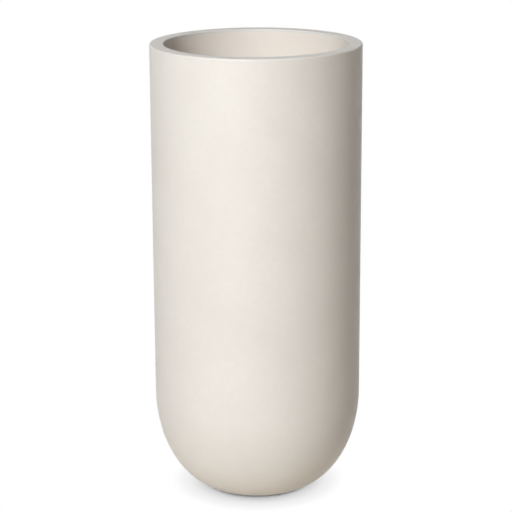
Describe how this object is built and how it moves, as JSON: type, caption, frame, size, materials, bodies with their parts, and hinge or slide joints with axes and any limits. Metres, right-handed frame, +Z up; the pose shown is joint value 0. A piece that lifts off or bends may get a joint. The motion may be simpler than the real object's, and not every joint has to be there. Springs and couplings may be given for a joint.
{
  "type": "floor planter",
  "caption": "Tall round fibreglass floor planter with a bowl-shaped lower end, a wide flat rim, a lift-out shelf inside and a plugged drain under the foot.",
  "frame": {"origin": "on the floor under the middle of the foot", "axes": "+Z up along the planter's axis; the shelf's two finger holes lie along X"},
  "size_m": [0.406, 0.4058, 0.887],
  "materials": {
    "fibreglass_coat": "satin off-white coating on fibreglass laminate",
    "spacer_wood": "plywood sealed in resin",
    "ring_laminate": "bare fibreglass laminate",
    "cast_concrete": "cast concrete",
    "drain_tube": "grey rigid plastic",
    "plug_rubber": "black moulded rubber",
    "pad_rubber": "black rubber",
    "shelf_plastic": "moulded black plastic"
  },
  "bodies": {
    "planter": {"outer_shell": "fibreglass_coat", "inner_sleeve": "fibreglass_coat", "rim_spacer_1": "spacer_wood", "rim_spacer_2": "spacer_wood", "rim_spacer_3": "spacer_wood", "rim_spacer_4": "spacer_wood", "rim_spacer_5": "spacer_wood", "rim_spacer_6": "spacer_wood", "ledge_ring": "ring_laminate", "ballast": "cast_concrete", "drain_sleeve": "drain_tube", "foot_pad_1": "pad_rubber", "foot_pad_2": "pad_rubber", "foot_pad_3": "pad_rubber", "foot_pad_4": "pad_rubber"},
    "shelf": {"shelf": "shelf_plastic"},
    "drain_plug": {"drain_plug": "plug_rubber"}
  },
  "joints": [
    {"name": "shelf_lift", "type": "slide", "parent": "planter", "child": "shelf", "axis": [0, 0, 1], "range_m": [0, 0.36]},
    {"name": "plug_pull", "type": "slide", "parent": "planter", "child": "drain_plug", "axis": [0, 0, -1], "range_m": [0, 0.04]}
  ]
}
